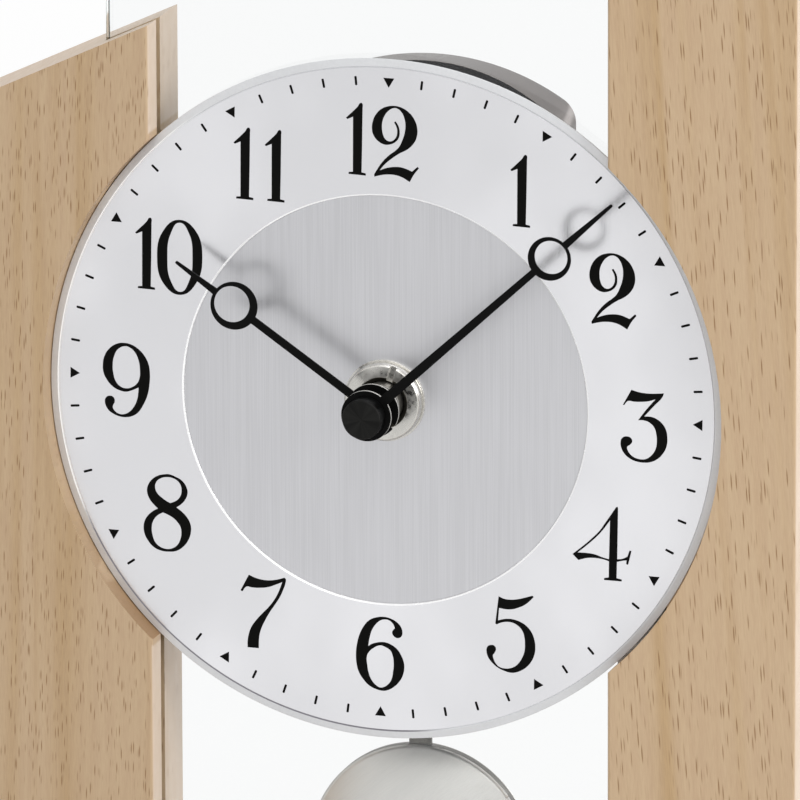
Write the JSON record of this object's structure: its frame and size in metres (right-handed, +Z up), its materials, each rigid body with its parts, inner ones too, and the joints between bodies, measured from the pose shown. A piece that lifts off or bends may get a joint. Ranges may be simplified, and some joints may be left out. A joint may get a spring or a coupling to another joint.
{
  "type": "pendulum table clock",
  "caption": "Free-standing table clock with a round metal dial on a glass pane between two wooden columns, ring hands, a covered movement and a swinging pendulum behind the glass.",
  "frame": {"origin": "middle of the footprint, on the table", "axes": "+X to the right seen from the front, +Y to the back, +Z up"},
  "size_m": [0.188, 0.084, 0.2991],
  "materials": {
    "beech": "clear matt lacquer over fine beech grain with short dark flecks",
    "felt": "dense felt",
    "zinc_steel": "zinc plated steel",
    "glass": "clear float glass with polished edges",
    "satin_aluminium": "bright satin dial ring",
    "brushed_aluminium": "vertical brushing",
    "black_rubber": "matt",
    "black_plastic": "fine moulded texture",
    "nickel": "nickel plate",
    "circuit_board": "solder mask",
    "copper_wire": "enamelled wire",
    "battery_sleeve": "printed sleeve, bare",
    "brass": "plain",
    "black_lacquer": "satin black lacquer on aluminium",
    "white_plastic": "moulded acetal",
    "grey_plastic": "moulded",
    "ferrite": "sintered magnet",
    "dark_steel": "dark satin",
    "satin_nickel": "finely brushed satin nickel",
    "silver_plastic": "silver lacquer on moulded plastic"
  },
  "bodies": {
    "stand": {"base_plate": "beech", "left_column": "beech", "right_column": "beech", "felt_pads": "felt", "column_screws": "zinc_steel", "glass_pane": "glass", "dial_ring": "satin_aluminium", "dial_middle": "brushed_aluminium", "case_gasket": "black_rubber", "front_case": "black_plastic", "shaft_bush": "nickel", "flat_washer": "nickel", "mounting_nut": "nickel", "rear_plate": "black_plastic", "plate_screws": "zinc_steel", "circuit_board": "circuit_board", "quartz_crystal": "nickel", "motor_stator": "zinc_steel", "motor_coil": "copper_wire", "battery": "battery_sleeve", "plus_contact": "brass", "minus_contact": "brass", "drive_coil": "copper_wire", "pendulum_bracket": "black_plastic", "pivot_pin": "zinc_steel"},
    "hour": {"hour_hand": "black_lacquer", "hour_wheel": "white_plastic"},
    "minute": {"minute_hand": "black_lacquer", "hand_cap": "black_lacquer", "minute_arbor": "brass"},
    "motion_gear": {"motion_wheel": "white_plastic"},
    "setting": {"setting_knob": "grey_plastic", "setting_pinion": "white_plastic"},
    "centre_gear": {"centre_wheel": "white_plastic"},
    "third_gear": {"third_wheel": "white_plastic"},
    "second_gear": {"second_wheel": "white_plastic"},
    "fifth_gear": {"fifth_wheel": "white_plastic"},
    "rotor": {"motor_rotor": "ferrite", "rotor_pinion": "white_plastic"},
    "pendulum": {"hanger_arm": "white_plastic", "drive_magnet": "nickel", "hook_pin": "zinc_steel", "pendulum_rod": "dark_steel", "bob_front": "satin_nickel", "bob_back": "satin_nickel", "bob_clip": "zinc_steel"},
    "cover": {"rear_cover": "silver_plastic"}
  },
  "joints": [
    {"name": "minute_hand_turn", "type": "hinge", "parent": "stand", "child": "minute", "pos_m": [0, -0.018, 0.1616], "axis": [0, 1, 0], "continuous": true},
    {"name": "hour_hand_turn", "type": "hinge", "parent": "stand", "child": "hour", "pos_m": [0, -0.018, 0.1616], "axis": [0, 1, 0], "continuous": true},
    {"name": "motion_wheel_turn", "type": "hinge", "parent": "stand", "child": "motion_gear", "pos_m": [0.01128, -0.008, 0.1657], "axis": [0, 1, 0], "continuous": true},
    {"name": "setting_knob_turn", "type": "hinge", "parent": "stand", "child": "setting", "pos_m": [0.02255, 0.01, 0.1616], "axis": [0, 1, 0], "continuous": true},
    {"name": "rotor_turn", "type": "hinge", "parent": "stand", "child": "rotor", "pos_m": [0.02023, -0.004, 0.18211], "axis": [0, 1, 0], "continuous": true},
    {"name": "fifth_wheel_turn", "type": "hinge", "parent": "stand", "child": "fifth_gear", "pos_m": [0.01723, 0, 0.17692], "axis": [0, 1, 0], "continuous": true},
    {"name": "second_wheel_turn", "type": "hinge", "parent": "stand", "child": "second_gear", "pos_m": [0.00719, -0.001, 0.17869], "axis": [0, 1, 0], "continuous": true},
    {"name": "third_wheel_turn", "type": "hinge", "parent": "stand", "child": "third_gear", "pos_m": [-0.00465, -0.003, 0.17438], "axis": [0, 1, 0], "continuous": true},
    {"name": "centre_wheel_turn", "type": "hinge", "parent": "stand", "child": "centre_gear", "pos_m": [0, -0.004, 0.1616], "axis": [0, 1, 0], "continuous": true},
    {"name": "pendulum_swing", "type": "hinge", "parent": "stand", "child": "pendulum", "pos_m": [0, 0.0104, 0.2136], "axis": [0, 1, 0], "range_deg": [-9, 9]},
    {"name": "cover_pull", "type": "slide", "parent": "stand", "child": "cover", "axis": [0, 1, 0], "range_m": [0, 0.03]}
  ],
  "couplings": [
    {"joint": "hour_hand_turn", "follows": "minute_hand_turn", "ratio": 0.083333},
    {"joint": "motion_wheel_turn", "follows": "minute_hand_turn", "ratio": -0.33333},
    {"joint": "setting_knob_turn", "follows": "minute_hand_turn", "ratio": 1},
    {"joint": "fifth_wheel_turn", "follows": "rotor_turn", "ratio": -0.25},
    {"joint": "second_wheel_turn", "follows": "rotor_turn", "ratio": 0.033333},
    {"joint": "third_wheel_turn", "follows": "rotor_turn", "ratio": -0.0041667},
    {"joint": "centre_wheel_turn", "follows": "rotor_turn", "ratio": 0.00055556}
  ]
}
